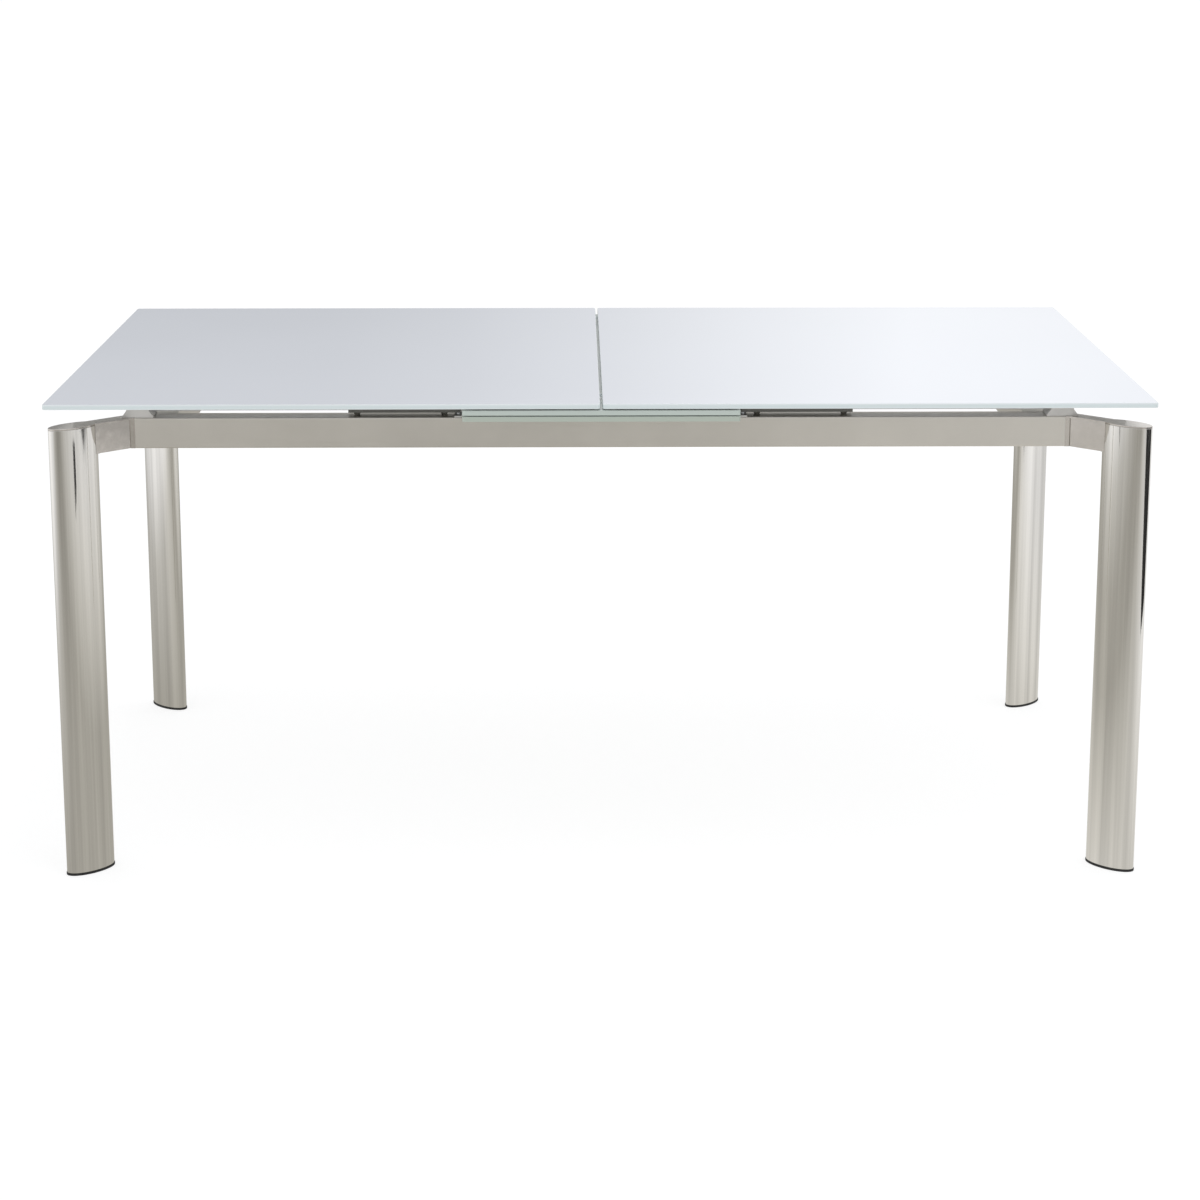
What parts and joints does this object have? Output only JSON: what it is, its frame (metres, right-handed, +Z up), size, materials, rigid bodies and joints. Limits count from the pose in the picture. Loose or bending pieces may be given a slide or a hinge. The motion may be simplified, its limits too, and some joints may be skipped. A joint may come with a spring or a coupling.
{
  "type": "extendable dining table",
  "caption": "Rectangular glass dining table whose half tops slide apart for glass leaves stored under the split, on oval metal legs at the corners.",
  "frame": {"origin": "on the floor under the centre of the closed table", "axes": "+X along the length to the right, +Y to the back, +Z up"},
  "size_m": [1.7, 0.9, 0.758],
  "materials": {
    "top_glass": "polished glass lacquered white on its back, pale green polished edges",
    "leaf_glass": "polished glass lacquered pale on its back, green polished edges",
    "leg_metal": "polished stainless steel",
    "cast_metal": "polished casting",
    "frame_metal": "satin nickel plated",
    "carrier_metal": "natural anodised extrusion",
    "glide_plastic": "moulded grey nylon",
    "block_plastic": "moulded black nylon",
    "foot_rubber": "moulded black rubber",
    "strip_nylon": "white nylon strip",
    "bond_tape": "dark adhesive foam strip",
    "clear_buffer": "clear silicone",
    "zinc_steel": "zinc plated"
  },
  "bodies": {
    "frame": {"side_rail_front": "frame_metal", "side_rail_back": "frame_metal", "end_rail_left": "frame_metal", "end_rail_right": "frame_metal", "corner_arm_front_left": "cast_metal", "corner_arm_front_right": "cast_metal", "corner_arm_back_left": "cast_metal", "corner_arm_back_right": "cast_metal", "leg_front_left": "leg_metal", "leg_front_right": "leg_metal", "leg_back_left": "leg_metal", "leg_back_right": "leg_metal", "leg_cap_front_left": "cast_metal", "leg_cap_front_right": "cast_metal", "leg_cap_back_left": "cast_metal", "leg_cap_back_right": "cast_metal", "foot_front_left": "foot_rubber", "foot_front_right": "foot_rubber", "foot_back_left": "foot_rubber", "foot_back_right": "foot_rubber", "leg_saddles": "zinc_steel", "leg_bolts": "zinc_steel", "arm_screws": "zinc_steel", "corner_glide_front_left": "glide_plastic", "corner_glide_front_right": "glide_plastic", "corner_glide_back_left": "glide_plastic", "corner_glide_back_right": "glide_plastic", "glide_screws": "zinc_steel", "slide_block_front_left": "block_plastic", "slide_block_front_right": "block_plastic", "slide_block_back_left": "block_plastic", "slide_block_back_right": "block_plastic", "block_spacers": "block_plastic", "block_screws": "zinc_steel", "left_outer_slides": "zinc_steel", "right_outer_slides": "zinc_steel", "slide_screws": "zinc_steel", "leaf_guide_left": "carrier_metal", "leaf_guide_right": "carrier_metal", "guide_screws": "zinc_steel", "leaf_stops": "carrier_metal"},
    "left_slide": {"left_middle_slides": "zinc_steel", "left_slide_strips": "strip_nylon"},
    "right_slide": {"right_middle_slides": "zinc_steel", "right_slide_strips": "strip_nylon"},
    "left_top": {"left_glass": "top_glass", "left_carriers": "carrier_metal", "left_inner_slides": "zinc_steel", "left_bond_strips": "bond_tape", "left_carrier_screws": "zinc_steel", "meeting_buffers": "clear_buffer"},
    "right_top": {"right_glass": "top_glass", "right_carriers": "carrier_metal", "right_inner_slides": "zinc_steel", "right_bond_strips": "bond_tape", "right_carrier_screws": "zinc_steel"},
    "upper_leaf": {"leaf_upper": "leaf_glass", "leaf_buffers": "clear_buffer"},
    "lower_leaf": {"leaf_lower": "leaf_glass"}
  },
  "joints": [
    {"name": "left_top_slide", "type": "slide", "parent": "frame", "child": "left_top", "axis": [-1, 0, 0], "range_m": [0, 0.425]},
    {"name": "left_middle_slide", "type": "slide", "parent": "frame", "child": "left_slide", "axis": [-1, 0, 0], "range_m": [0, 0.2125]},
    {"name": "right_top_slide", "type": "slide", "parent": "frame", "child": "right_top", "axis": [1, 0, 0], "range_m": [0, 0.425]},
    {"name": "right_middle_slide", "type": "slide", "parent": "frame", "child": "right_slide", "axis": [1, 0, 0], "range_m": [0, 0.2125]},
    {"name": "upper_leaf_slide", "type": "slide", "parent": "frame", "child": "upper_leaf", "axis": [0, -1, 0], "range_m": [0, 0.8]},
    {"name": "lower_leaf_slide", "type": "slide", "parent": "frame", "child": "lower_leaf", "axis": [0, -1, 0], "range_m": [0, 0.8]}
  ],
  "couplings": [
    {"joint": "left_middle_slide", "follows": "left_top_slide", "ratio": 0.5},
    {"joint": "right_middle_slide", "follows": "right_top_slide", "ratio": 0.5}
  ]
}
